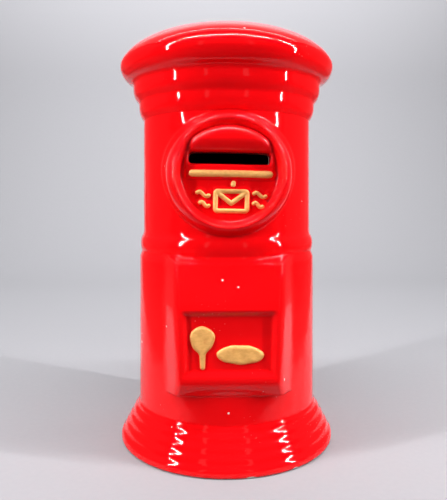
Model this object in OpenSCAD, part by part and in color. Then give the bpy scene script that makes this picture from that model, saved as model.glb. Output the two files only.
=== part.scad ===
// Pillar-shaped ceramic coin bank: a hollow cast body with a coin slot, raised gilt marks
// and a two-piece soft stopper in the base. The front faces -Y and the foot stands on Z = 0.

/* [Barrel] */
// Radius of the lower barrel
lower_r = 38.95; // [30:0.05:60]
// Height of the lower barrel, from the plinth to the waist groove
lower_h = 65.4; // [62:0.1:100]
// Height of the upper barrel, from the waist to the neck rolls
upper_h = 48.9; // [48.9:0.1:80]
// How far the upper barrel is set in from the lower one
upper_inset = 1.65; // [0.5:0.05:3]
// Thickness of the cast wall
wall = 4.5; // [3:0.1:6]

/* [Waist] */
// Height of the waist roll
waist_h = 8.7; // [6:0.1:12]
// Depth of the groove under the waist roll
groove_d = 0.55; // [0.2:0.05:1.5]
// How far the waist roll stands out from the upper barrel
waist_out = 1.4; // [0.5:0.05:3]

/* [Plinth] */
// Height of the ribbed plinth
plinth_h = 16.4; // [15:0.1:24]
// How far the foot lip stands out from the lower barrel
foot_out = 8.35; // [7:0.05:12]
// Number of ridges above the foot roll
ridges = 3; // [1:1:3]
// Height from one ridge to the next
ridge_pitch = 2.85; // [2.4:0.05:3.2]
// How far each ridge stands out from the one above it
ridge_step = 1.3; // [1:0.05:2]
// Depth of the hollow under the base, inside the foot ring
base_recess = 6; // [5:0.1:9]
// Width of the foot ring at the ground
foot_ring_w = 5; // [4:0.1:8]

/* [Cap] */
// Height of each of the two neck rolls
roll_h = 7.4; // [5:0.1:10]
// How far the lower neck roll stands out from the upper barrel
roll_low_out = 2.1; // [1:0.1:4]
// How far the upper neck roll stands out from the upper barrel
roll_high_out = 4.7; // [3:0.1:8]
// How far the cap's rim stands out from the upper barrel
rim_out = 10.4; // [8:0.05:16]
// Height from the upper neck roll to the widest line of the cap
rim_h = 9.1; // [7:0.1:14]
// Rise of the domed top above the widest line
dome_h = 16.1; // [10:0.1:30]

/* [Medallion] */
// Radius of the ring's front edge
ring_r = 20.7; // [20.2:0.1:22]
// How far the ring's front stands out from the upper barrel
ring_out = 5.2; // [4:0.1:8]
// How far the ring widens from its front edge to the barrel's front line
ring_flare = 3.7; // [2:0.1:4]
// Radius of the sunk disc inside the ring
disc_r = 19; // [18.8:0.1:20]
// How far the sunk disc stands out from the upper barrel
disc_out = 0.9; // [0.5:0.1:2]
// Thickness of the slot plate raised on the disc
plate_t = 0.9; // [0.5:0.1:1.5]
// Height of the hood above the disc
hood_out = 3.8; // [2:0.1:4]

/* [Coin slot] */
// Width of the coin slot
slot_w = 32; // [26:0.5:33]
// Height of the coin slot
slot_h = 4.6; // [4.5:0.1:5.5]
// Height of the slot's middle above the medallion's middle
slot_up = 5.7; // [4:0.1:7]

/* [Collection box] */
// Half width of the front face at its top edge
box_half_w = 20.3; // [19.5:0.1:24]
// How far the front face stands out from the lower barrel
box_out = 3.2; // [2:0.1:6]
// Height of the front face
box_h = 29.2; // [27:0.1:36]
// Height of the front face's lower edge above the plinth
box_up = 17.1; // [12:0.1:18]
// Height of the sloping roof
roof_h = 17.2; // [12:0.1:18]
// Angle that each side slopes back at
flank_angle = 24; // [15:1:35]
// Angle that each side leans in towards the bottom
flank_lean = 1.3; // [0:0.1:3]
// Height of the sloping underside
under_h = 5; // [3:0.1:8]
// Width of the frame at each side of the sunk panel
frame_side = 2.4; // [1.5:0.1:4]
// Width of the frame above the sunk panel
frame_top = 1.5; // [1:0.1:3]
// Width of the frame below the sunk panel
frame_bottom = 3.7; // [2:0.1:5]
// Depth of the sunk panel
panel_d = 1.8; // [1:0.1:2.5]

/* [Gilt marks] */
// Thickness of each raised gilt mark
mark_t = 0.9; // [0.5:0.1:1.5]
// Length of the bar under the slot
bar_w = 32.5; // [24:0.1:33]
// Height of the bar under the slot
bar_h = 2.7; // [1.5:0.1:3]
// Width of the line that the drawn marks are made with
stroke = 1.8; // [1.2:0.1:2]
// Width of the envelope
envelope_w = 14; // [10:0.1:15]
// Height of the envelope
envelope_h = 9.4; // [7:0.1:10]
// Radius of the lock disc
lock_r = 5; // [3:0.1:5.4]
// Length of the keyhole stem, from the disc's middle
stem_l = 11.8; // [8:0.1:12]
// Length of the oval plate
oval_w = 18.5; // [12:0.1:19]
// Height of the oval plate
oval_h = 7.6; // [5:0.1:8]

/* [Stopper] */
// Radius of the plug's shank
plug_r = 16; // [13:0.1:20]
// Thickness of the collar's wall, between the plug and the base
collar_wall = 2.95; // [2:0.05:4]
// Running clearance between the plug and its collar, all round
plug_clear = 0.05; // [0.02:0.01:0.1]
// How far the collar's flange reaches under the base
flange_w = 3.5; // [2:0.1:6]
// How far the collar's lip grips over the inside of the base
lip_w = 1.4; // [0.5:0.1:2]
// Thickness of the flange, of the lip and of the plug's head
flange_t = 1.5; // [1:0.1:1.6]
// Thickness of the plug's wall and of its finger bar
plug_wall = 3; // [2:0.1:4]

/* [Hidden] */
fine = 96;
bury = 3;
long = 200;

upper_r = lower_r - upper_inset;
foot_r = lower_r + foot_out;
foot_inner_r = foot_r - 1 - foot_ring_w;
rim_r = upper_r + rim_out;
bore_r = plug_r + plug_clear;
hole_r = bore_r + collar_wall;

groove_z = plinth_h + lower_h;
waist_z = groove_z + waist_h;
neck_z = waist_z + upper_h;
rim_z = neck_z + 2 * roll_h + rim_h;
floor_z = base_recess + wall;

disc_z = waist_z + upper_h / 2 - 0.45;
disc_y = -(upper_r + disc_out);
ring_y = -(upper_r + ring_out);
ring_back_r = ring_r + ring_flare;
bowl_r = ring_r - 0.6;
plate_y = disc_y - plate_t;
slot_z = disc_z + slot_up;
slot_corner = 1.6;
ridge_t = 0.9;
roll_reach = 6.3;
rim_reach = 8.6;
dome_edge = 0.74;
dome_rise = 1.29;
plate_low_z = disc_z - 2.7;
hood_r = 17.5;

box_y = -(lower_r + box_out);
panel_y = box_y + panel_d;
box_root_y = -lower_r * 0.6;
box_low_z = plinth_h + box_up;
box_top_z = box_low_z + box_h;
roof_top_z = box_top_z + roof_h;

bar_x = 0.6;
bar_z = slot_z - 6.1;
envelope_x = 0.9;
envelope_z = disc_z - 10.9;
bead_x = 1.6;
bead_z = envelope_z + envelope_h / 2 + 2;
lock_x = -10.5;
lock_z = box_low_z + 17.4;
oval_x = 4.1;
oval_z = box_low_z + 11.3;

ink = "#c9a35c";
glaze = "#d0060c";
soft = "#e8e4da";

// Points on an ellipse about [cx, cz], from angle a0 to a1
function arc(cx, cz, rx, rz, a0, a1, n = 5) =
    [for (i = [0 : n]) let (a = a0 + (a1 - a0) * i / n) [cx + rx * cos(a), cz + rz * sin(a)]];

// A rounded moulding whose widest line is at radius r and height z
function bead(r, z, reach, half_h, a0 = -60, a1 = 60, n = 5) =
    arc(r - reach, z, reach, half_h, a0, a1, n);

// A dome that is flatter on top and squarer at the edge than an ellipse
function dome(r, z, h, n = 9) =
    [for (i = [0 : n]) let (a = 90 * i / n) [r * cos(a) ^ dome_edge, z + h * sin(a) ^ dome_rise]];

function ridge_line() =
    [for (k = [ridges - 1 : -1 : 0])
        each bead(lower_r + 0.4 + ridge_step * k, plinth_h - 1.9 - ridge_pitch * k,
                  ridge_t, ridge_pitch / 2, -45, 60, 3)];

function plinth_line() =
    concat(arc(foot_r - 1, 1.1, 1, 1.1, -90, 50, 4),
           bead(foot_r - 2, 4.7, 2.2, 2.2, -45, 65),
           ridge_line(),
           [[lower_r, plinth_h + 0.6]]);

function waist_line() =
    concat([[lower_r, groove_z - 4.2]],
           bead(lower_r, groove_z - 2.6, groove_d + 0.2, 1.6, 0, 70, 2),
           [[lower_r - groove_d, groove_z - 0.6]],
           bead(upper_r + waist_out, groove_z + 3.6, waist_out, 3.8, -60, 75),
           [[upper_r, waist_z]]);

function cap_line() =
    concat([[upper_r, neck_z]],
           bead(upper_r + roll_low_out, neck_z + roll_h - 1.5, roll_reach, roll_h + 0.4, -52, 8),
           bead(upper_r + roll_high_out, neck_z + roll_h * 2 - 1.2, roll_reach - 1.7, roll_h - 1.1,
                -65, 15),
           arc(rim_r - rim_reach, rim_z, rim_reach, rim_h - 1.1, -66, -8),
           dome(rim_r, rim_z, dome_h));

// Places a flat outline, drawn as seen from the front, so that its back lies on plane y
module on_front(y, t) {
    translate([0, y, 0]) rotate([90, 0, 0]) linear_extrude(height = t) children();
}

// A round solid about the medallion's axis, from [radius, distance in front of the axis]
module about_medallion(points) {
    translate([0, 0, disc_z])
        rotate([90, 0, 0]) rotate_extrude($fn = fine) polygon(points);
}

// A bar with round ends
module rounded_bar(w, h) {
    square([w - h, h], center = true);
    for (side = [-1, 1]) translate([side * (w - h) / 2, 0]) circle(d = h, $fn = 48);
}

module barrel_shape() {
    rotate_extrude($fn = fine)
        polygon(concat([[0, 0]], plinth_line(), waist_line(), cap_line()));
}

module medallion_shape() {
    about_medallion(concat([[0, 0], [ring_back_r + 4, 0],
                            [ring_back_r + 3.5, upper_r - 13]],
                           [[ring_back_r, upper_r]],
                           arc(ring_r - 0.3, upper_r, ring_flare, ring_out, 10, 90),
                           [[0, -ring_y]]));
}

// The bowl inside the ring, down to the sunk disc
module medallion_bowl() {
    about_medallion([[0, -disc_y], [disc_r, -disc_y], [bowl_r, -ring_y + 0.1],
                     [bowl_r, -ring_y + 5], [0, -ring_y + 5]]);
}

// The hood that shades the slot: the upper part of a shallow dome
module hood_shape() {
    intersection() {
        about_medallion(concat([[0, -disc_y - bury]], [[hood_r, -disc_y - bury]],
                               [for (a = [0 : 9 : 90])
                                   [hood_r * cos(a), -disc_y + hood_out * sin(a)]]));
        translate([-long / 2, -long, slot_z + slot_h / 2]) cube(long);
    }
}

module slot_plate() {
    intersection() {
        about_medallion([[0, -disc_y - bury], [disc_r - 0.8, -disc_y - bury],
                         [disc_r - 0.8, -plate_y], [0, -plate_y]]);
        translate([-long / 2, -long / 2, plate_low_z])
            cube([long, long, slot_z + slot_h / 2 + 1 - plate_low_z]);
    }
}

module slot_cut() {
    translate([0, 0, slot_z]) on_front(-upper_r / 2, upper_r) {
        square([slot_w - 2 * slot_corner, slot_h], center = true);
        square([slot_w, slot_h - 2 * slot_corner], center = true);
        for (sx = [-1, 1], sz = [-1, 1])
            translate([sx * (slot_w / 2 - slot_corner), sz * (slot_h / 2 - slot_corner)])
                circle(r = slot_corner, $fn = 32);
    }
}

// One side's slope, cut away from the collection box; front_w and front_y place its front edge
module flank_cuts(front_w, front_y) {
    for (side = [-1, 1])
        translate([side * front_w, front_y, box_top_z])
            rotate([0, side * flank_lean, side * flank_angle])
                translate([side < 0 ? -long : 0, -long / 2, -long / 2]) cube(long);
}

module box_side_view(points) {
    rotate([90, 0, 90]) translate([0, 0, -long / 2]) linear_extrude(height = long) polygon(points);
}

module box_shape() {
    difference() {
        box_side_view([[box_y, box_low_z], [box_y, box_top_z],
                       [-lower_r - 0.1, roof_top_z], [box_root_y, roof_top_z + 4],
                       [box_root_y, box_low_z - under_h - 2],
                       [-lower_r - 0.1, box_low_z - under_h]]);
        flank_cuts(box_half_w, box_y);
    }
}

module panel_cut() {
    translate([0, panel_y, 0]) rotate([90, 0, 0]) linear_extrude(height = long)
        polygon([[-box_half_w + frame_side + 0.6, box_low_z + frame_bottom],
                 [box_half_w - frame_side - 0.6, box_low_z + frame_bottom],
                 [box_half_w - frame_side, box_top_z - frame_top],
                 [-box_half_w + frame_side, box_top_z - frame_top]]);
}

// The hollow that the casting leaves, a wall's thickness behind the outside
module cast_hollow() {
    rotate_extrude($fn = fine)
        polygon(concat([[0, floor_z], [lower_r - wall, floor_z],
                        [lower_r - wall, groove_z - wall],
                        [upper_r - wall, groove_z + wall],
                        [upper_r - wall, neck_z],
                        [upper_r + roll_high_out - wall - 1, rim_z - rim_h]],
                       dome(rim_r - wall, rim_z, dome_h - wall, 7)));
    about_medallion([[0, 0], [disc_r, 0], [disc_r, -disc_y - wall], [0, -disc_y - wall]]);
    intersection() {
        difference() {
            translate([-long / 2, panel_y + wall, box_low_z + wall])
                cube([long, lower_r, box_h - wall]);
            flank_cuts(box_half_w - wall, panel_y + wall);
        }
        translate([-long / 2, -long, 0]) cube([long, long, long]);
    }
}

module ceramic_body() {
    color(glaze) difference() {
        union() {
            difference() {
                union() {
                    barrel_shape();
                    medallion_shape();
                }
                medallion_bowl();
            }
            hood_shape();
            slot_plate();
            difference() {
                box_shape();
                panel_cut();
            }
        }
        cast_hollow();
        slot_cut();
        translate([0, 0, -1]) cylinder(h = base_recess + 1, r = foot_inner_r, $fn = fine);
        cylinder(h = floor_z + 1, r = hole_r, $fn = fine);
    }
}

module slot_bar() {
    color(ink) translate([bar_x, 0, bar_z]) on_front(plate_y, mark_t) rounded_bar(bar_w, bar_h);
}

module bar_bead() {
    color(ink) translate([bead_x, 0, bead_z]) on_front(disc_y, mark_t) circle(d = stroke, $fn = 32);
}

// An envelope drawn in line: its outline and the two edges of its flap
module envelope_mark() {
    fold_z = -envelope_h * 0.1;
    color(ink) translate([envelope_x, 0, envelope_z]) on_front(disc_y, mark_t) {
        difference() {
            square([envelope_w, envelope_h], center = true);
            square([envelope_w - 2 * stroke, envelope_h - 2 * stroke], center = true);
        }
        for (side = [-1, 1])
            polygon([[side * (envelope_w / 2 - stroke), envelope_h / 2],
                     [side * (envelope_w / 2 - 0.1), envelope_h / 2 - stroke],
                     [0, fold_z - stroke / 2],
                     [0, fold_z + stroke / 2]]);
    }
}

// One wavy line of length w that starts at x = 0
module wave(w) {
    n = 12;
    function mid(i) = [w * i / n, 0.7 * sin(360 * i / n)];
    polygon(concat([for (i = [0 : n]) mid(i) + [0, stroke / 2]],
                   [for (i = [n : -1 : 0]) mid(i) - [0, stroke / 2]]));
}

// Two wavy lines beside the envelope, the lower one shorter, on side -1 or 1
module wave_marks(side) {
    start_x = envelope_w / 2 + 1.2;
    color(ink) on_front(disc_y, mark_t)
        for (row = [0, 1])
            translate([envelope_x + side * start_x, envelope_z + 2.6 - 3.9 * row])
                scale(side) wave(5.6 - 1.2 * row);
}

module wave_marks_left() {
    wave_marks(-1);
}

module wave_marks_right() {
    wave_marks(1);
}

module lock_disc() {
    stem_w = 2.2;
    color(ink) translate([lock_x, 0, lock_z]) on_front(panel_y, mark_t) {
        circle(r = lock_r, $fn = fine);
        translate([-stem_w / 2, -stem_l + stem_w / 2]) square([stem_w, stem_l - stem_w / 2]);
        translate([0, -stem_l + stem_w / 2]) circle(d = stem_w, $fn = 32);
    }
}

module oval_plate() {
    color(ink) translate([oval_x, 0, oval_z]) on_front(panel_y, mark_t)
        polygon([for (i = [0 : 35]) [oval_w / 2 * cos(10 * i), oval_h / 2 * sin(10 * i)]]);
}

// A ring sprung into the base hole: a flange under the base and a lip over it
module stopper_collar() {
    color(soft) rotate_extrude($fn = fine)
        polygon([[bore_r, base_recess - flange_t], [hole_r + flange_w, base_recess - flange_t],
                 [hole_r + flange_w, base_recess], [hole_r, base_recess], [hole_r, floor_z],
                 [hole_r + lip_w, floor_z], [hole_r + 0.3, floor_z + flange_t],
                 [bore_r, floor_z + flange_t]]);
}

// A cup, open downwards, with a head that stops against the collar and a bar to pull it by
module stopper_plug() {
    head_z = base_recess - 2 * flange_t;
    plug_top_z = floor_z + flange_t;
    color(soft) {
        difference() {
            rotate_extrude($fn = fine)
                polygon([[0, head_z], [plug_r + 2, head_z], [plug_r + 2, head_z + flange_t],
                         [plug_r, head_z + flange_t], [plug_r, plug_top_z], [0, plug_top_z]]);
            translate([0, 0, head_z - 1])
                cylinder(h = plug_top_z - flange_t - head_z + 1, r = plug_r - plug_wall, $fn = fine);
        }
        translate([-plug_r + plug_wall - 1, -plug_wall / 2, head_z])
            cube([2 * (plug_r - plug_wall + 1), plug_wall, plug_top_z - flange_t / 2 - head_z]);
    }
}

ceramic_body();
slot_bar();
bar_bead();
envelope_mark();
wave_marks_left();
wave_marks_right();
lock_disc();
oval_plate();
stopper_collar();
stopper_plug();
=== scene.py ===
import math

import bmesh
import bpy
import numpy as np
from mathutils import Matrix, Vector


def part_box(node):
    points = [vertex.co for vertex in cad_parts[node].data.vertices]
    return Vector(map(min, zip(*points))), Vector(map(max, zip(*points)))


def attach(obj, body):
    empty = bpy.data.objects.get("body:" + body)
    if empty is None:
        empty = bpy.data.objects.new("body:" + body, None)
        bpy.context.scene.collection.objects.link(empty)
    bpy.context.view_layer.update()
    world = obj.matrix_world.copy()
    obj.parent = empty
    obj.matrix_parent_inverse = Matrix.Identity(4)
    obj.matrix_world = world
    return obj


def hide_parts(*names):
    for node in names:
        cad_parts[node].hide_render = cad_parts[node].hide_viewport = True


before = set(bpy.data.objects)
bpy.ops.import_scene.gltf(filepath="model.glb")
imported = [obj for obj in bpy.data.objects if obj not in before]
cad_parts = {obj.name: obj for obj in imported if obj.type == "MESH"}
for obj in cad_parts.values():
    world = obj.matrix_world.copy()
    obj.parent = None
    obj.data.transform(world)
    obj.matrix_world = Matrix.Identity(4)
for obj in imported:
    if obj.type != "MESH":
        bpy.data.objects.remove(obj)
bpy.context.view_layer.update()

# The camera: a level view of the front from close by, a little above the middle of the
# bank and a touch to the left, as for a small ornament on a table.
camera_distance = 0.251
camera_height = 0.103
camera_turn = math.radians(-1.7)
camera = bpy.data.objects.new("camera", bpy.data.cameras.new("camera"))
bpy.context.scene.collection.objects.link(camera)
camera.location = (camera_distance * math.sin(camera_turn),
                   -camera_distance * math.cos(camera_turn), camera_height)
camera.rotation_euler = (math.radians(90), 0, camera_turn)
camera.data.sensor_width = 36
camera.data.lens = 39.6
camera.data.shift_x = -0.006
camera.data.shift_y = -0.094
camera.data.clip_start = 0.01
bpy.context.scene.camera = camera

# The casting: one hollow shell of white clay, cast in a mould with its mouldings, its
# medallion and its collection box, then dipped in red glaze that rounds every edge.
# Sizes here are in millimetres. The mesh is a net of rings round the shell: down the
# outside, under the foot, up through the stopper's hole and up the inside to the crown.
MM = 0.001
bank_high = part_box("ceramic_body")[1]
bank_h = bank_high.z / MM
cap_r = bank_high.x / MM
lower_r = 38.95
upper_r = 37.3
wall = 4.5
plinth_h = 16.4
groove_z = 81.8
waist_z = 90.5
neck_z = 139.4
rim_z = 163.3
hole_r = 19.0
base_recess = 6.0
floor_z = base_recess + wall
foot_inner_r = 41.3
inner_r = upper_r - wall
flare_h = 14.6
flare_slope = 0.54
ripple_pitch = 3.3


def arc(r, z, reach, half_h, start, end, steps=14):
    """Points round part of an ellipse about (r, z), from one angle to another."""
    turns = np.radians(np.linspace(start, end, steps))
    return [(r + reach * math.cos(a), z + half_h * math.sin(a)) for a in turns]


def ease(t):
    t = np.clip(t, 0, 1)
    return t * t * (3 - 2 * t)


def outside_line():
    """The shell's outline from the ground up to the crown."""
    line = arc(45.8, 1.1, 1.15, 1.1, -90, 20)
    for down in np.linspace(flare_h, 0, 100):
        ripple = 0.17 + 0.1 * ease(1 - down / 5)
        ripple *= math.sin(2 * math.pi * down / ripple_pitch + 0.5)
        line.append((lower_r + flare_slope * down + ripple * ease(down / 1.5),
                     plinth_h + 0.4 - down))
    line += [(lower_r, plinth_h + 0.6), (lower_r, groove_z - 4.2)]
    line += arc(lower_r - 0.75, groove_z - 2.6, 0.75, 1.6, 0, 70)
    line += [(lower_r - 0.55, groove_z - 0.6)]
    line += arc(upper_r, groove_z + 3.6, 1.4, 3.8, -60, 75)
    line += [(upper_r, waist_z), (upper_r, neck_z)]
    line += arc(upper_r - 4.2, neck_z + 5.9, 6.3, 7.8, -52, 8)
    line += arc(upper_r + 0.1, neck_z + 13.6, 4.6, 6.3, -65, 15)
    line += arc(cap_r - 8.6, rim_z, 8.6, 8.0, -66, -4)
    for a in np.radians(np.linspace(0, 90, 60)):
        line.append((cap_r * math.cos(a) ** 0.74, rim_z + (bank_h - rim_z) * math.sin(a) ** 1.29))
    return line


def inside_line():
    """The outline from the foot ring's inner edge up through the hole to the inner crown."""
    line = [(foot_inner_r + 0.6, 0)]
    line += arc(foot_inner_r - 1.0, base_recess - 1.0, 1.0, 1.0, 0, 90, 6)
    line += [(hole_r + 0.4, base_recess), (hole_r, base_recess + 0.4)]
    line += [(hole_r, floor_z - 0.4), (hole_r + 0.4, floor_z)]
    line += arc(lower_r - wall - 3, floor_z + 3, 3, 3, -90, 0, 7)
    line += [(lower_r - wall, groove_z - wall), (inner_r, groove_z + wall), (inner_r, neck_z)]
    line += [(upper_r - 0.6, rim_z - 9.3)]
    line += arc(0, rim_z, cap_r - wall, bank_h - rim_z - wall, 0, 90, 20)
    return line


def evenly(line, step):
    """The same line as points an even step apart."""
    line = np.array(line, float)
    along = np.r_[0, np.cumsum(np.hypot(*np.diff(line, axis=0).T))]
    places = np.linspace(0, along[-1], max(2, int(round(along[-1] / step)) + 1))
    return np.c_[np.interp(places, along, line[:, 0]), np.interp(places, along, line[:, 1])]


def soften(line, step, radius):
    """Rounds a line's corners as glaze does, without moving its ends."""
    half = int(4 * radius / step)
    weights = np.exp(-0.5 * (np.arange(-half, half + 1) * step / radius) ** 2)
    weights /= weights.sum()
    first, last = line[:1], line[-1:]
    padded = np.vstack([2 * first - line[half:0:-1], line, 2 * last - line[-2:-half - 2:-1]])
    return np.c_[np.convolve(padded[:, 0], weights, "valid"),
                 np.convolve(padded[:, 1], weights, "valid")]


def smooth_max(a, b, blend):
    share = np.clip(0.5 + 0.5 * (a - b) / blend, 0, 1)
    return b + (a - b) * share + blend * share * (1 - share)


def smooth_min(a, b, blend):
    return -smooth_max(-a, -b, blend)


def unevenness(x, y, z):
    """The slow waves of a hand-finished casting, in millimetres."""
    return (0.045 * np.sin(0.21 * x + 0.13 * z + 1.3) * np.sin(0.17 * y - 0.11 * z + 0.4)
            + 0.03 * np.sin(0.43 * x - 0.31 * z + 2.1) * np.cos(0.37 * y + 0.29 * z)
            + 0.014 * np.sin(0.93 * x + 0.71 * z) * np.sin(0.83 * y - 0.67 * z + 1.7))


# The medallion, cast in one with the barrel: a ring round a sunk disc, with a hood over
# the slot. Each "_out" is how far a face stands in front of the axis. The slot was cut
# and the marks were laid by eye, a degree askew.
medallion_z = 114.6
ring_edge_r = 20.6
ring_out = 42.5
ring_rise = 5.2
ring_round = 4.1
disc_out = 38.2
disc_r = 19.5
slot_z = 120.3
slot_half_w = 16.0
slot_half_h = 2.3
slot_corner = 1.6
plate_low_z = 111.9
plate_half_w = 17.6
plate_t = 0.9
plate_round = 0.8
hood_t = 5.0
hood_arch_z, hood_arch_r = 109.3, 24.0
hood_half_w = 16.3
hood_round = 3.4
hood_tuck = 3.1
askew = math.radians(1.1)


def level(x, z):
    """The position (x, z) measured along the slot's own slightly tilted axes."""
    up = z - medallion_z
    return (x * math.cos(askew) - up * math.sin(askew),
            medallion_z + x * math.sin(askew) + up * math.cos(askew))


def slot_gap(x, z):
    """Distance outside the coin slot's outline, negative inside it."""
    x, z = level(x, z)
    dx = np.abs(x) - (slot_half_w - slot_corner)
    dz = np.abs(z - slot_z) - (slot_half_h - slot_corner)
    outside = np.hypot(np.maximum(dx, 0), np.maximum(dz, 0))
    return outside + np.minimum(np.maximum(dx, dz), 0) - slot_corner


def hood(x, z):
    """Rise of the hood over the slot, with a round shoulder and a tucked-under lip."""
    from_top = hood_arch_r - np.hypot(x, z - hood_arch_z)
    from_side = hood_half_w - np.abs(x)
    inset = smooth_min(from_top, from_side, 2.0)
    shoulder = np.sqrt(1 - (1 - np.clip(inset / hood_round, 0, 1)) ** 2)
    above_slot = z - slot_z - slot_half_h
    tuck = hood_tuck * (1 - np.clip(above_slot / 5.5, 0, 1)) ** 2
    return np.where(above_slot > -0.8, shoulder * (hood_t - tuck), 0)


def medallion(x, z):
    """The ring, its bowl, the hood and the slot plate."""
    r = np.hypot(x, z - medallion_z)
    past_edge = np.clip((r - ring_edge_r + 0.3) / ring_round, 0, None)
    skirt = 2.4 + 2.2 * ease((medallion_z + 18 - z) / 40)
    fall = ring_rise * np.where(past_edge < 1, past_edge ** 2.6, 1 + skirt * (past_edge - 1))
    slope = 2.6 - 1.3 * ease((z - medallion_z) / 18)
    bowl = smooth_max(np.full_like(r, disc_out), ring_out - (ring_edge_r - 0.1 - r) * slope, 1.2)
    x, z = level(x, z)
    plate = plate_t * ease((plate_half_w - np.abs(x)) / plate_round)
    plate = plate * ease((z - plate_low_z) / plate_round)
    plate = plate * ease((slot_z + slot_half_h + 0.8 - z) / plate_round)
    plate = plate * ease((disc_r - 0.5 - r) / plate_round)
    inner = disc_out + smooth_max(plate, hood(x, z), 0.3)
    ring = smooth_min(ring_out - fall, bowl, 2.0)
    return np.where(r < disc_r, smooth_max(ring, inner, 0.25), ring)


# The collection box, cast in one with the lower barrel: a shallow block with a sloping
# roof, splayed sides that draw in a little towards the foot, and a sunk panel for the
# lock and the oval plate.
box_out = 42.15
box_half_w = 20.3
box_low_z = 33.5
box_top_z = 62.7
roof_top_z = 79.9
roof_slope, under_slope = 0.178, 0.62
flank_angle = math.radians(24)
flank_lean = math.radians(1.3)
frame_side, frame_top, frame_bottom = 2.5, 1.5, 3.7
panel_d = 1.8


def collection_box(x, z):
    half_w = box_half_w - (box_top_z - z) * math.tan(flank_lean)
    front = np.full_like(x, box_out)
    roof = box_out - roof_slope * (z - box_top_z)
    shoulder = lower_r + 0.1 - 3.9 * (z - roof_top_z)
    under = box_out + under_slope * (z - box_low_z)
    heel = lower_r + 0.1 + 7.8 * (z - box_low_z + 5)
    flank = box_out - (np.abs(x) - half_w) / math.tan(flank_angle)
    flank = flank - 0.12 * np.maximum(z - box_top_z, 0)
    shape = smooth_min(smooth_min(front, roof, 0.5), under, 1.3)
    shape = smooth_min(shape, flank, 3.2)
    shape = smooth_min(smooth_min(shape, shoulder, 2.6), heel, 2.4)
    from_side = half_w - frame_side - np.abs(x)
    from_ends = smooth_min(z - box_low_z - frame_bottom, box_top_z - frame_top - z, 0.6)
    inset = smooth_min(from_side, from_ends, 1.0)
    return shape - panel_d * ease((inset + 0.8) / 2.7)


# Raised clay lines, trailed on by hand before firing, which the gold follows loosely.
# They lie on the disc: a bar, a bead, an envelope and four wavy lines.
envelope_x, envelope_z = 0.9, 103.7
envelope_w, envelope_h = 14.0, 9.4
stroke_w = 1.8
wave_w = 1.45
bar_x, bar_z = 0.6, slot_z - 6.1
bar_w, bar_h = 32.5, 2.7
bead_x, bead_z = 1.6, envelope_z + envelope_h / 2 + 2


def bar_path():
    half = bar_w / 2
    return [[(bar_x - half, bar_z), (bar_x + 0.1 * half, bar_z + 0.12), (bar_x + half, bar_z)]]


def bead_path():
    return [[(bead_x + 0.2, bead_z + 1.2), (bead_x - 0.2, bead_z - 1.2)]]


def envelope_paths():
    """The envelope's outline with round corners, and the two edges of its flap."""
    half_w = (envelope_w - stroke_w) / 2
    half_h = (envelope_h - stroke_w) / 2
    outline = []
    for turn, sx, sz in ((0, 1, 1), (90, -1, 1), (180, -1, -1), (270, 1, -1)):
        for x, z in arc(sx * (half_w - 0.8), sz * (half_h - 0.8), 0.8, 0.8, turn, turn + 90, 5):
            outline.append((envelope_x + x, envelope_z + z))
    outline += outline[:6]
    flap = [(envelope_x - half_w, envelope_z + half_h), (envelope_x, envelope_z - 0.9),
            (envelope_x + half_w, envelope_z + half_h)]
    return [outline, flap]


def wave_paths(side):
    """Two wavy lines beside the envelope, the lower one shorter."""
    paths = []
    for row in (0, 1):
        length = 5.6 - 1.2 * row
        start_x = envelope_x + side * (envelope_w / 2 + 1.2)
        start_z = envelope_z + 2.6 - 3.9 * row
        paths.append([(start_x + side * length * t,
                       start_z + side * 0.85 * math.sin(2 * math.pi * t))
                      for t in np.linspace(0, 1, 16)])
    return paths


def path_gap(x, z, paths):
    """Distance from (x, z) to the nearest of some paths."""
    nearest = np.full(np.shape(x), np.inf)
    for path in paths:
        for (ax, az), (bx, bz) in zip(path, path[1:]):
            length = max((bx - ax) ** 2 + (bz - az) ** 2, 1e-9)
            t = np.clip(((x - ax) * (bx - ax) + (z - az) * (bz - az)) / length, 0, 1)
            nearest = np.minimum(nearest, np.hypot(x - ax - t * (bx - ax), z - az - t * (bz - az)))
    return nearest


def clay_ridges(x, z):
    """The raised clay under the marks, which the gold doesn't quite cover."""
    x, z = level(x, z)
    lines = path_gap(x - 0.3, z - 0.35, envelope_paths() + wave_paths(-1) + wave_paths(1)
                     + bead_path())
    bar = path_gap(x, z - 0.1, bar_path())
    ridge = 0.5 * np.clip(1 - (lines / 1.55) ** 2, 0, 1) ** 1.2
    return ridge + 0.5 * np.clip(1 - (bar / 1.75) ** 2, 0, 1) ** 0.8


def front_of(x, z, barrel):
    """How far the glazed front stands out at (x, z), where the plain barrel is at `barrel`."""
    r = np.hypot(x, z - medallion_z)
    blend = 0.1 + 1.5 * ease((r - 21) / 2)
    shape = smooth_max(barrel, medallion(x, z), blend)
    in_box = ease((z - 20) / 4) * ease((84 - z) / 2)
    with_box = smooth_max(shape, collection_box(x, z), 2.0)
    shape = shape + (with_box - shape) * in_box
    shape = shape + clay_ridges(x, z)
    lip = np.clip(slot_gap(x, z) / 0.9, 0, 1)
    return shape - 0.9 * (1 - np.sqrt(1 - (1 - lip) ** 2))


fine_step = 0.45
front_reach = 31.0
relief_half_w = 30.5
slot_side = 20
outline_step = 0.1
outside = evenly(outside_line(), outline_step)
softest = soften(outside, outline_step, 0.8)
outside = soften(outside, outline_step, 0.42)
soft_share = ease((outside[:, 1] - 137) / 3) * ease((170 - outside[:, 1]) / 4)
outside += (softest - outside) * soft_share[:, None]
outside[:, 1] = np.maximum(outside[:, 1], 0)
inside = evenly(inside_line(), outline_step)
relief_low, relief_high = 22.0, 141.5


def ring_spacing(z):
    """How far apart the rings lie on the outside, closest where the relief is."""
    if z > 165:
        return 1.1
    if z > relief_high:
        return 0.55
    if z > relief_low:
        return fine_step
    return 0.3


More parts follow.
